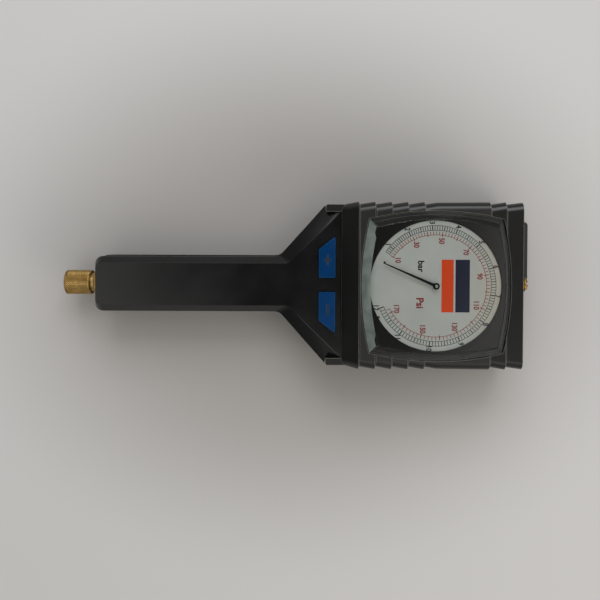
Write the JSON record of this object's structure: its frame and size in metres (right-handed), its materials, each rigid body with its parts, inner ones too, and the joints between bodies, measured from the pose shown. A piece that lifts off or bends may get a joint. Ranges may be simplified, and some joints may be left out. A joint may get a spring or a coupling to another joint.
{
  "type": "tyre pressure gauge",
  "caption": "Hand-held tyre pressure gauge with a large round Bourdon dial, inflate and deflate push valves, a rubber boot and a brass air-line coupling",
  "frame": {"origin": "on the dial's axis, on the flat back of the tool", "axes": "+X from the handle to the outlet end of the head, +Y across the head, +Z out of the dial"},
  "size_m": [0.301, 0.1026, 0.052],
  "materials": {
    "black_plastic": "fine moulded grain",
    "rubber": "satin moulded rubber",
    "clear_lens": "clear moulded",
    "dial_white": "satin print",
    "pointer_black": "satin",
    "blue_button": "moulded gloss",
    "brass": "machined",
    "steel": "turned",
    "aluminium": "die-cast"
  },
  "bodies": {
    "housing": {"front_housing": "black_plastic", "rear_housing": "black_plastic", "housing_screws": "steel", "rubber_boot": "rubber", "lens": "clear_lens", "lens_gasket": "rubber", "bezel_plate": "black_plastic", "dial_plate": "dial_white", "gauge_case": "steel", "bourdon_socket": "brass", "bourdon_tube": "brass", "movement_rear_plate": "brass", "movement_front_plate": "brass", "movement_pillars": "brass", "movement_screws": "steel", "hairspring": "steel", "valve_block": "aluminium", "block_screws": "steel", "inflate_spring": "steel", "deflate_spring": "steel", "stem_seals": "rubber", "gauge_seal": "rubber", "inlet_pipe": "brass", "outlet_pipe": "brass", "outlet_elbow": "brass", "outlet_stub": "brass", "coupling_neck": "brass", "coupler_body": "brass", "coupler_spring": "steel", "coupler_balls": "steel", "coupler_seal": "rubber", "hook_pin": "steel"},
    "pointer_body": {"pointer": "pointer_black", "pinion": "brass"},
    "sector_body": {"sector_gear": "brass", "sector_arbor": "steel"},
    "tip_body": {"tube_tip": "brass"},
    "link_body": {"link": "brass"},
    "inflate_body": {"inflate_button": "blue_button", "inflate_stem": "steel"},
    "deflate_body": {"deflate_button": "blue_button", "deflate_stem": "steel"},
    "sleeve_body": {"coupler_sleeve": "brass"},
    "hook_body": {"hanging_hook": "black_plastic"}
  },
  "joints": [
    {"name": "inflate_press", "type": "slide", "parent": "housing", "child": "inflate_body", "axis": [0, 0, -1], "range_m": [0, 0.003], "stiffness_N_per_m": 800, "deforming": ["inflate_spring"]},
    {"name": "deflate_press", "type": "slide", "parent": "housing", "child": "deflate_body", "axis": [0, 0, -1], "range_m": [0, 0.003], "stiffness_N_per_m": 800, "deforming": ["deflate_spring"]},
    {"name": "pointer_turn", "type": "hinge", "parent": "housing", "child": "pointer_body", "pos_m": [0, 0, 0.03], "axis": [0, 0, -1], "range_deg": [0, 315], "stiffness_Nm_per_rad": 0.0002, "deforming": ["hairspring"]},
    {"name": "sector_turn", "type": "hinge", "parent": "housing", "child": "sector_body", "pos_m": [0, -0.02025, 0.0294], "axis": [0, 0, 1], "range_deg": [0, 39.38]},
    {"name": "tube_flex", "type": "hinge", "parent": "housing", "child": "tip_body", "pos_m": [0.00594, 0.00277, 0.019], "axis": [0, 0, 1], "range_deg": [0, 5.52], "deforming": ["bourdon_tube"]},
    {"name": "link_turn", "type": "hinge", "parent": "tip_body", "child": "link_body", "pos_m": [-0.0125, -0.02165, 0.0274], "axis": [0, 0, 1], "range_deg": [0, 6.84]},
    {"name": "sleeve_slide", "type": "slide", "parent": "housing", "child": "sleeve_body", "axis": [1, 0, 0], "range_m": [0, 0.0025], "stiffness_N_per_m": 1500, "deforming": ["coupler_spring"]},
    {"name": "hook_swing", "type": "hinge", "parent": "housing", "child": "hook_body", "pos_m": [0.0576, 0, 0.0085], "axis": [0, 0, -1], "range_deg": [0, 90]}
  ],
  "couplings": [
    {"joint": "sector_turn", "follows": "pointer_turn", "ratio": 0.125},
    {"joint": "tube_flex", "follows": "pointer_turn", "ratio": 0.017513},
    {"joint": "link_turn", "follows": "pointer_turn", "ratio": 0.021725}
  ]
}
